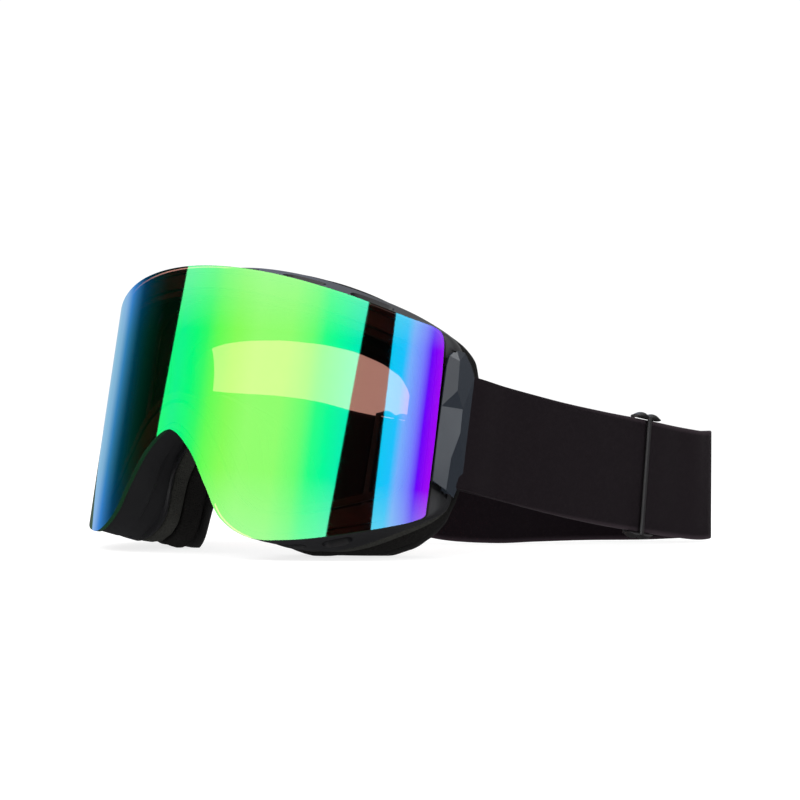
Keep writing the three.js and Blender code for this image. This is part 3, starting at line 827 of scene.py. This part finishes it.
def build_frame():
    """The moulded frame with its arm seats, strap openings, vents and hinge knuckles."""
    section = frame_section()
    rows, width = section.shape[:2]
    shell = mesh_piece("frame_shell", section.reshape(-1, 3), ring_faces(rows, width),
                       [frame_plastic])
    cutters, knuckles, bores = [], [], []
    for side in (1, -1):
        tag = side_name(side)
        seat = grown(ARM_OUTLINE, SEAT_CLEARANCE)
        cutters.append(prism("seat_" + tag, seat, SEAT_FLOOR, 95, side))
        cutters.append(box_mesh("strap_room_" + tag, (side * 89.2, -35.5, -12.3), (11.6, 11, 46.2)))
        for kind, vents in VENTS.items():
            for place in vents["places"]:
                cutters.append(vent_cutter(place, side, vents["length"], f"{kind}_{place}_{tag}"))
        for low, high in KNUCKLE_SPANS:
            knuckles += knuckle(side, low, high, f"knuckle_{tag}_{low}")
        bores.append(hinge_rod("bore_" + tag, side, HINGE["pin"] + BORE_CLEARANCE, *BORE_SPAN,
                               frame_plastic))
    boolean(shell, cutters, "DIFFERENCE")
    boolean(shell, knuckles, "UNION")
    boolean(shell, bores, "DIFFERENCE")
    smooth(shell, 34)
    bevelled(shell, 0.35, 2, 34)
    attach(shell, "frame")
    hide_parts("frame")
    return shell


frame_shell = build_frame()


# ---- Foam ----

def foam_ring(name, node, front, rear, outer, inner, round_off, waviness, material, seed):
    """One layer of face foam: a ring of soft rounded section, slightly uneven."""
    outline = rounded_section(((outer, front), (inner, rear)), round_off, 5)
    section = np.stack([foam_loop(depth, share) for share, depth in outline], 1)
    middle = section.mean(1, keepdims=True)
    rng = np.random.default_rng(seed)
    turn = np.linspace(0, 2 * math.pi, LOOP_SIZE, endpoint=False)[:, None]
    around = np.linspace(0, 2 * math.pi, len(outline), endpoint=False)[None, :]
    swell = np.zeros((LOOP_SIZE, len(outline)))
    for _ in range(14):
        waves, turns = rng.integers(3, 42), rng.integers(-2, 3)
        swell += np.sin(waves * turn + turns * around + rng.uniform(0, 6.28)) / 14 ** 0.5
    outward = unit(section - middle)
    section = above_floor(section + outward * (swell * waviness)[..., None])
    ring = mesh_piece(name, section.reshape(-1, 3), ring_faces(*section.shape[:2]), [material])
    smooth(ring, 80)
    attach(ring, "frame")
    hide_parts(node)
    return ring


foam_base = foam_ring("foam_base", "face_foam_base", 0.03, 0.33, 0.03, 0.97, (0.1, 0.08), 0.12,
                      foam_lip, 11)
foam_middle = foam_ring("foam_middle", "face_foam_middle", 0.36, 0.785, 0.0, 1.0, (0.16, 0.16),
                        0.2, foam, 12)
foam_fleece = foam_ring("foam_fleece", "face_foam_fleece", 0.845, 1.0, 0.0, 1.0, (0.13, 0.08),
                        0.14, fleece, 13)


def vent_foam_strip(name, node, start, end, side=1):
    """A foam pad behind the vent slots, with a rough surface seen through them."""
    first, last = round(start * SAMPLES_PER_SPAN), round(end * SAMPLES_PER_SPAN)
    indices = [side * k % LOOP_SIZE for k in range(first, last + 1)]
    outline = rounded_section(((0.36, 0.26), (0.52, 0.78)), (0.05, 0.1), 3)
    section = np.stack([frame_loop(depth, share)[indices] for share, depth in outline], 1)
    strip = mesh_piece(name, section.reshape(-1, 3), tube_faces(*section.shape[:2]), [vent_foam])
    smooth(strip, 80)
    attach(strip, "frame")
    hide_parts(node)
    return strip


vent_foam_strip("vent_pad_brow", "vent_foam_brow", -2.66, 2.66)
vent_foam_strip("vent_pad_cheek_left", "vent_foam_cheek_left", 9, 11.34)
vent_foam_strip("vent_pad_cheek_right", "vent_foam_cheek_right", 9, 11.34, -1)


# ---- Side arms ----
# The cover's corners as (x, y, height) on the wearer's left.

COVER_CORNERS = {
    "low_front": (86, -51.4, -31.9),
    "low_rear": (87.2, -40.8, -36.2),
    "rear_lower": (87.7, -38, -27),
    "rear_upper": (87.7, -38, 7.5),
    "rear_shoulder": (87.5, -40.3, 11.3),
    "top_rear": (87.1, -44, 15.2),
    "top_front": (86.6, -48.2, 15.6),
    "front_shoulder": (86, -50.8, 12.8),
    "high_front": (85.8, -51.4, 9),
    "front_upper": (85.6, -51.4, -5.3),
    "front_lower": (85.6, -51.4, -18),
    "ridge_top": (88.2, -47.6, 11.5),
    "ridge_upper": (88.5, -47.2, 1),
    "ridge_wide_upper": (88.8, -43.6, -5),
    "ridge_wide_lower": (88.8, -43.3, -13.5),
    "ridge_point": (88.5, -46.2, -23),
    "ridge_bottom": (87.8, -46, -34.3),
}
COVER_FACETS = [
    ("high_front", "front_upper", "ridge_upper", "ridge_top", "front_shoulder"),
    ("front_shoulder", "ridge_top", "top_front"),
    ("front_upper", "ridge_wide_upper", "ridge_upper"),
    ("front_upper", "front_lower", "ridge_point", "ridge_wide_lower", "ridge_wide_upper"),
    ("front_lower", "low_front", "ridge_bottom", "ridge_point"),
    ("ridge_top", "top_rear", "top_front"),
    ("ridge_top", "ridge_upper", "rear_shoulder", "top_rear"),
    ("ridge_upper", "ridge_wide_upper", "rear_upper", "rear_shoulder"),
    ("ridge_wide_upper", "ridge_wide_lower", "rear_lower", "rear_upper"),
    ("ridge_wide_lower", "ridge_point", "low_rear", "rear_lower"),
    ("ridge_point", "ridge_bottom", "low_rear"),
]
COVER_RIM = [
    "low_front", "ridge_bottom", "low_rear", "rear_lower", "rear_upper", "rear_shoulder",
    "top_rear", "top_front", "front_shoulder", "high_front", "front_upper", "front_lower",
]


def arm_cover(side):
    """The faceted cover plate: flat facets meeting at softly rounded ridges."""
    tag = side_name(side)
    names = list(COVER_CORNERS)
    outside = np.array([COVER_CORNERS[name] for name in names], float)
    inside = outside[[names.index(name) for name in COVER_RIM]]
    inside[:, 0] = COVER_INSIDE
    points = np.concatenate([outside, inside]) * (side, 1, 1)
    facets = [[names.index(name) for name in facet] for facet in COVER_FACETS]
    rim = [names.index(name) for name in COVER_RIM]
    under = [len(names) + k for k in range(len(rim))]
    walls = [[rim[k], rim[k - 1], under[k - 1], under[k]] for k in range(len(rim))]
    cover = mesh_piece("arm_shell_" + tag, points, facets + walls + [under], [arm_plastic])
    hinge_groove = hinge_rod("groove", side, HINGE["barrel"] + BORE_CLEARANCE, -40, 20, arm_plastic)
    lug_room = box_mesh("lug_room", (side * 83.52, -36.7, -10), (7.05, 13.4, 60))
    boolean(cover, [hinge_groove, lug_room], "DIFFERENCE")
    smooth(cover, 5)
    bevelled(cover, 0.22, 3, 7)
    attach(cover, "arm_" + tag)
    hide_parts("arm_cover_" + tag)
    return cover


for side in (1, -1):
    arm_cover(side)


# ---- Strap ----
# The strap's route from the left arm, round the fold behind, to the right arm, in millimetres
# from the lens axis, upright.

RESTING = STRAP_WIDTH / 2 - AXIS[2] + 0.3
STRAP_ROUTE = [
    (85.45, -41.2, -5), (85.7, -15, -9.8), (85.9, 15, -15), (85.8, 42, -18.9),
    (85.4, 69, -22.2), (84.9, 92, -25), (84.6, 110, RESTING + 0.8),
    (83, 119, RESTING + 0.9), (77, 123.7, RESTING + 0.8),
    (70, 121, RESTING + 0.6), (59, 107.5, RESTING), (45, 86, RESTING),
    (38, 62, RESTING), (34, 42, RESTING), (24, 26, -26.3), (12, 21.4, -24.4),
    (2, 17.8, -22.8), (-20, 10, -18.5), (-34, 5, -14.6), (-48, 0, -12.2), (-72, -11, -9.9),
    (-83.3, -24, -7.5), (-85.45, -41.2, -5),
]
ROUTE = open_curve(STRAP_ROUTE)
ROUTE_LENGTHS = lengths_along(ROUTE)
STRAP_LENGTH = ROUTE_LENGTHS[-1]


def route_at(distance):
    """The route's points at distances from the left arm's bar."""
    return np.stack([np.interp(distance, ROUTE_LENGTHS, ROUTE[:, k]) for k in range(3)], -1)


def strap_frame(distance):
    """Centre, direction, width direction, outward side and width of the strap at distances."""
    distance = np.asarray(distance, float)
    along = unit(route_at(distance + 0.6) - route_at(distance - 0.6))
    from_arm = np.minimum(distance, STRAP_LENGTH - distance)
    tilt = LEAN * (1 - smoothstep(from_arm, 0, FRONT_LENGTH))
    up = np.stack([np.zeros_like(tilt), np.sin(tilt), np.cos(tilt)], -1)
    up = unit(up - along * np.sum(up * along, -1, keepdims=True))
    width = STRAP_WIDTH_AT_ARM + (STRAP_WIDTH - STRAP_WIDTH_AT_ARM) * smoothstep(from_arm, 0, 130)
    return route_at(distance), along, up, np.cross(along, up), width


def band_section(thickness):
    """(outward, share of the half width, inset) of a flat band's section with round edges."""
    half, across, turns = thickness / 2, 22, 5
    top = [(half, share, 0.0) for share in np.linspace(-1, 1, across)]
    bottom = [(-half, share, 0.0) for share in np.linspace(1, -1, across)]

    def edge(side):
        angles = np.radians(np.linspace(90, -90, turns + 2)[1:-1] * side)
        return [(half * math.sin(a), side, half * math.cos(a)) for a in angles]

    return top + edge(1) + bottom + edge(-1)


def strap_band(name, distances, offsets, thickness, unevenness):
    """A woven band along the strap's route, offset outwards, with a slightly uneven surface.
    Its distances may turn back, and may run past the route's ends, round an arm's bar."""
    inside = np.clip(distances, 0, STRAP_LENGTH)
    centre, along, up, outward, width = strap_frame(inside)
    middle = centre + along * (distances - inside)[:, None] + outward * offsets[:, None]
    normal = unit(np.cross(np.gradient(middle, axis=0), up))
    section = np.array(band_section(thickness))
    half = width / 2 - thickness / 2 - SELVEDGE_INSET
    height = half[:, None] * section[None, :, 1] + np.sign(section[:, 1]) * section[:, 2]
    run = lengths_along(middle)
    lift = section[None, :, 0] + unevenness(run[:, None], height)
    points = middle[:, None] + normal[:, None] * lift[..., None] + up[:, None] * height[..., None]
    rows, count = points.shape[:2]
    band = mesh_piece(name, points.reshape(-1, 3), tube_faces(rows, count), [webbing], upright)
    add_weave_map(band, run, height, count)
    smooth(band, 60)
    return band


def add_weave_map(band, run, height, count):
    """A map in metres, along and across the band, for its knit."""
    layer = band.data.uv_layers.new(name="weave")
    flat = np.stack([np.repeat(run[:, None], count, 1), height], -1).reshape(-1, 2) * MM
    corners = np.zeros(len(band.data.loops), np.int32)
    band.data.loops.foreach_get("vertex_index", corners)
    layer.data.foreach_set("uv", flat[corners].astype(np.float32).ravel())


def arm_strap(side):
    """The doubled strap at an arm: one band that runs in, turns round the bar and runs back."""
    reach = BAR_RADIUS + STRAP_LAYER / 2 + 0.05
    turn = np.radians(np.linspace(-90, 90, 17)[1:-1])
    run = np.linspace(FRONT_LENGTH - STRAP_GAP / 2, 6.0, 100)
    swell = STRAP_LAYER_OFFSET + (reach - STRAP_LAYER_OFFSET) * (1 - smoothstep(run, 6, 22))
    closing = np.linspace(5.0, 0.2, 7)
    beside_bar = np.full(7, reach)
    distances = np.concatenate([run, closing, -np.cos(turn) * reach, closing[::-1], run[::-1]])
    offsets = np.concatenate([-swell, -beside_bar, np.sin(turn) * reach, beside_bar, swell[::-1]])
    if side < 0:
        distances = STRAP_LENGTH - distances

    def unevenness(run, height):
        return 0.05 * (np.sin(run * 0.21 + height * 0.09) + np.sin(run * 0.067 - height * 0.17 + side))

    tag = side_name(side)
    band = strap_band(f"strap_band_{tag}", distances, offsets, STRAP_LAYER, unevenness)
    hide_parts("strap_" + tag)
    return band


def rear_strap():
    """The single layer behind both sliders."""
    start = FRONT_LENGTH + STRAP_GAP / 2
    distances = np.linspace(start, STRAP_LENGTH - start, 240)
    rng = np.random.default_rng(5)
    waves = [(rng.uniform(0.05, 0.3), rng.uniform(-0.12, 0.12), rng.uniform(0, 6.28))
             for _ in range(10)]

    def unevenness(run, height):
        wave = sum(np.sin(run * along + height * across + phase) for along, across, phase in waves)
        return 0.05 * wave / 10 ** 0.5

    return strap_band("strap_band_rear", distances, np.zeros(len(distances)),
                      STRAP_THICKNESS - 0.2, unevenness)


strap_left = arm_strap(1)
strap_right = arm_strap(-1)
strap_rear = rear_strap()
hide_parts("strap_rear")
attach(strap_rear, "frame")


def blend_at_arm(band):
    """Moves the band's placement into its points."""
    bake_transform(band)


blend_at_arm(strap_left)
blend_at_arm(strap_right)


# ---- Sliders ----

def slider(side):
    """A three-bar slider moulded in one piece: humped rails, end bars inside the strap and the
    middle bar outside it."""
    tag = side_name(side)
    node = "slider_" + tag
    half_length, half_thickness = SLIDER_LENGTH / 2, SLIDER_THICKNESS / 2
    distance = FRONT_LENGTH + SLIDER_FROM_LAYERS + half_length
    distance = distance if side > 0 else STRAP_LENGTH - distance
    centre, along, up, outward, _ = (value[0] for value in strap_frame([distance]))
    axes = np.array([-side * along, outward, up])
    inner_half = STRAP_WIDTH / 2 + SLIDER_SIDE_GAP
    forwards, outwards, upwards = np.eye(3)

    def swept(name, spine, radii, across, over):
        """A round-sectioned bar along spine, with two radii at each point."""
        turns = np.linspace(0, 2 * math.pi, 16, endpoint=False)[:, None]
        rings = [point + a * np.cos(turns) * across + b * np.sin(turns) * over
                 for point, (a, b) in zip(np.array(spine), radii)]
        points = centre + np.concatenate(rings) @ axes
        return mesh_piece(name, points, tube_faces(len(spine), 16), [buckle_plastic], upright)

    parts = []
    along_rail = np.linspace(-1, 1, 25)
    humps = np.abs(np.sin(math.pi * np.clip(np.abs(along_rail) * 1.06, 0, 1)))
    heights = SLIDER_RAIL * (0.45 + 0.55 * humps)
    for end in (-1, 1):
        spine = [(half_length * u * 0.985, 0, end * (inner_half + h / 2))
                 for u, h in zip(along_rail, heights)]
        radii = [(h / 2 + 0.02, (half_thickness - 0.1) * (0.72 + 0.28 * h / SLIDER_RAIL))
                 for h in heights]
        parts.append(swept(f"rail_{end}_{tag}", spine, radii, upwards, outwards))
    reach = inner_half + 0.8
    nearest = STRAP_THICKNESS / 2 + SLIDER_BAR_GAP
    thick = (half_thickness - nearest) / 2
    end_bar = half_length - 1.3
    for x, where in ((-end_bar, -1), (end_bar, -1), (0.0, 1)):
        spine = [(x, where * (nearest + thick), z) for z in np.linspace(-reach, reach, 9)]
        radii = [(SLIDER_BAR_HALF_WIDTH, thick)] * len(spine)
        parts.append(swept(f"bar_{x:.0f}_{tag}", spine, radii, forwards, outwards))
    body = parts[0]
    body.name = "slider_body_" + tag
    boolean(body, parts[1:], "UNION")
    smooth(body, 50)
    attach(body, node)
    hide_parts(node)
    return body


for side in (1, -1):
    slider(side)


# ---- Small parts kept from the CAD ----

def finish_cad_node(name, material):
    """Gives a node that stays as it is its material and smooth shading."""
    node = nodes[name]
    node.data.materials.clear()
    node.data.materials.append(material)
    smooth(node, 30)


for name in nodes:
    if "magnet" in name:
        finish_cad_node(name, magnet_metal)
    elif name.startswith(("arm_pin", "arm_screw", "strap_bar")):
        finish_cad_node(name, steel)
    elif name.startswith("arm_bracket") or name == "lens_carrier":
        finish_cad_node(name, frame_plastic)
    elif name == "lens_spacer":
        finish_cad_node(name, gasket)


# ---- Studio ----

def floor_material():
    """White acrylic: matt, and bright enough to show white with hardly any shadow."""
    shader = Shader("studio_floor")
    tooth = shader.noise(14.0, 3.0)
    shader.surface(Base_Color=shader.mix(tooth, (0.38, 0.38, 0.38, 1), (0.42, 0.42, 0.42, 1)),
                   Roughness=1.0, Specular_IOR_Level=0.0, Emission_Color=(1, 1, 1, 1),
                   Emission_Strength=0.78)
    return shader.material


def studio_floor():
    mesh = bpy.data.meshes.new("studio_floor")
    half = 12.0
    mesh.from_pydata([(-half, -half, 0), (half, -half, 0), (half, half, 0), (-half, half, 0)], [],
                     [(0, 1, 2, 3)])
    mesh.materials.append(floor_material())
    floor = add_to_scene("studio_floor", mesh)
    floor.visible_glossy = False


def studio_card(name, edges, stops, slants=(0.0, 0.0), radius=3.0):
    """An upright curved card round the goggles, seen only in reflections. edges are its azimuths
    in degrees from the front towards the wearer's left, at eye level, and slants are how far each
    edge leans, in degrees a metre. stops are (share of the way, red, green, blue), up to 3."""
    steps, levels = 48, [0.02, 1.5, 14.0]
    share = np.linspace(0, 1, steps + 1)
    points = []
    for height in levels:
        leaned_by = np.array(slants) * (min(height, levels[1]) - 0.8)
        start, end = np.array(edges) + leaned_by
        angles = np.radians(start + (end - start) * share)
        points += [(radius * math.sin(a), -radius * math.cos(a), height) for a in angles]
    width = steps + 1
    faces = [(row * width + k, row * width + k + 1, (row + 1) * width + k + 1, (row + 1) * width + k)
             for row in range(2) for k in range(steps)]
    mesh = bpy.data.meshes.new(name)
    mesh.from_pydata(points, [], faces)
    layer = mesh.uv_layers.new(name="card")
    for loop in mesh.loops:
        layer.data[loop.index].uv = (loop.vertex_index % width / steps, 0.5)
    shader = Shader(name)
    where = shader.add("UVMap", {"uv_map": "card"}).outputs[0]
    along = shader.add("SeparateXYZ", Vector=where).outputs["X"]
    brightest = 3.0
    colours = [(at, (red / brightest, green / brightest, blue / brightest, 1.0))
               for at, red, green, blue in stops]
    shader.finish(shader.add("Emission", Color=shader.ramp(along, colours),
                             Strength=brightest).outputs[0])
    mesh.materials.append(shader.material)
    card = add_to_scene(name, mesh)
    card.visible_camera = False
    card.visible_diffuse = False
    card.visible_shadow = False
    card.visible_transmission = False


def softbox(name, where, size, power):
    """A rectangular lamp that looks at the goggles' middle."""
    light = bpy.data.lights.new(name, "AREA")
    light.shape = "RECTANGLE"
    light.size, light.size_y = size
    light.energy = power
    lamp = add_to_scene(name, light)
    lamp.location = where
    look = Vector((0, -0.05, 0.05)) - Vector(where)
    lamp.rotation_euler = look.to_track_quat("-Z", "Y").to_euler()


def studio_world():
    """Plain white surroundings. Reflections see them grey, and nearly black below the table."""
    world = bpy.data.worlds.new("studio")
    bpy.context.scene.world = world
    nodes = Nodes(world)
    seen = nodes.add("LightPath").outputs
    height = nodes.add("SeparateXYZ", Vector=nodes.add("TexCoord").outputs["Generated"])
    reflected = nodes.spread(height.outputs["Z"], 0.06, 0.5, -0.05, 0.3)
    plain = nodes.spread(seen["Is Camera Ray"], 1.0, 1.05)
    difference = nodes.math("SUBTRACT", reflected, plain)
    strength = nodes.math("MULTIPLY_ADD", seen["Is Glossy Ray"], difference, plain)
    background = nodes.tree.nodes["Background"]
    background.inputs["Color"].default_value = (1, 1, 1, 1)
    nodes.put(background, "Strength", strength)


studio_floor()
studio_world()
studio_card("card_front", (-54.5, 37.0), [(0.0, 1.95, 1.95, 1.95), (1.0, 1.95, 1.95, 1.95)],
            (12.0, 16.0))
studio_card("card_side", (53.4, 125.0), [
    (0.0, 1.95, 1.95, 1.95), (0.33, 1.9, 1.9, 1.9), (0.37, 0.4, 0.4, 0.4), (0.47, 0.45, 0.45, 0.5),
    (0.53, 2.5, 2.6, 2.7), (0.62, 2.5, 2.6, 2.7), (0.72, 0.35, 0.38, 0.42), (1.0, 0.2, 0.22, 0.25),
])
studio_card("card_gap", (20.0, 70.0), [(0.0, 0.0, 0.0, 0.0), (1.0, 0.0, 0.0, 0.0)], radius=3.1)
studio_card("card_dark", (-40.0, -150.0), [
    (0.0, 0.0, 0.0, 0.0), (0.22, 0.0, 0.01, 0.02), (0.31, 0.0, 0.03, 0.14), (0.4, 0.0, 0.05, 0.4),
    (0.52, 0.09, 0.23, 1.5), (0.6, 0.45, 0.45, 1.5), (0.75, 0.5, 0.58, 0.85), (1.0, 0.7, 0.75, 0.8),
], radius=3.1)
softbox("key_light", (-0.7, -1.2, 1.6), (1.2, 1.2), 14)
softbox("fill_light", (1.3, 0.3, 1.2), (0.9, 0.9), 6)


# ---- Camera ----

def studio_camera():
    """Three-quarter view from the wearer's left, level with the goggles' middle."""
    camera_data = bpy.data.cameras.new("camera")
    camera_data.lens = 99
    camera_data.sensor_width = 36
    camera_data.clip_start = 0.01
    camera = add_to_scene("camera", camera_data)
    right = Vector((0.742445, 0.669896, 0.003907))
    up = Vector((0.004217, -0.010506, 0.999936))
    back = Vector((0.669894, -0.742381, -0.010626))
    place = Matrix((right, up, back)).transposed().to_4x4()
    offset = np.array([592.29, -634.83, -2.01])
    place.translation = Vector((AXIS + offset) * MM)
    camera.matrix_world = place
    bpy.context.scene.camera = camera


studio_camera()
bpy.context.scene.view_settings.view_transform = "Standard"
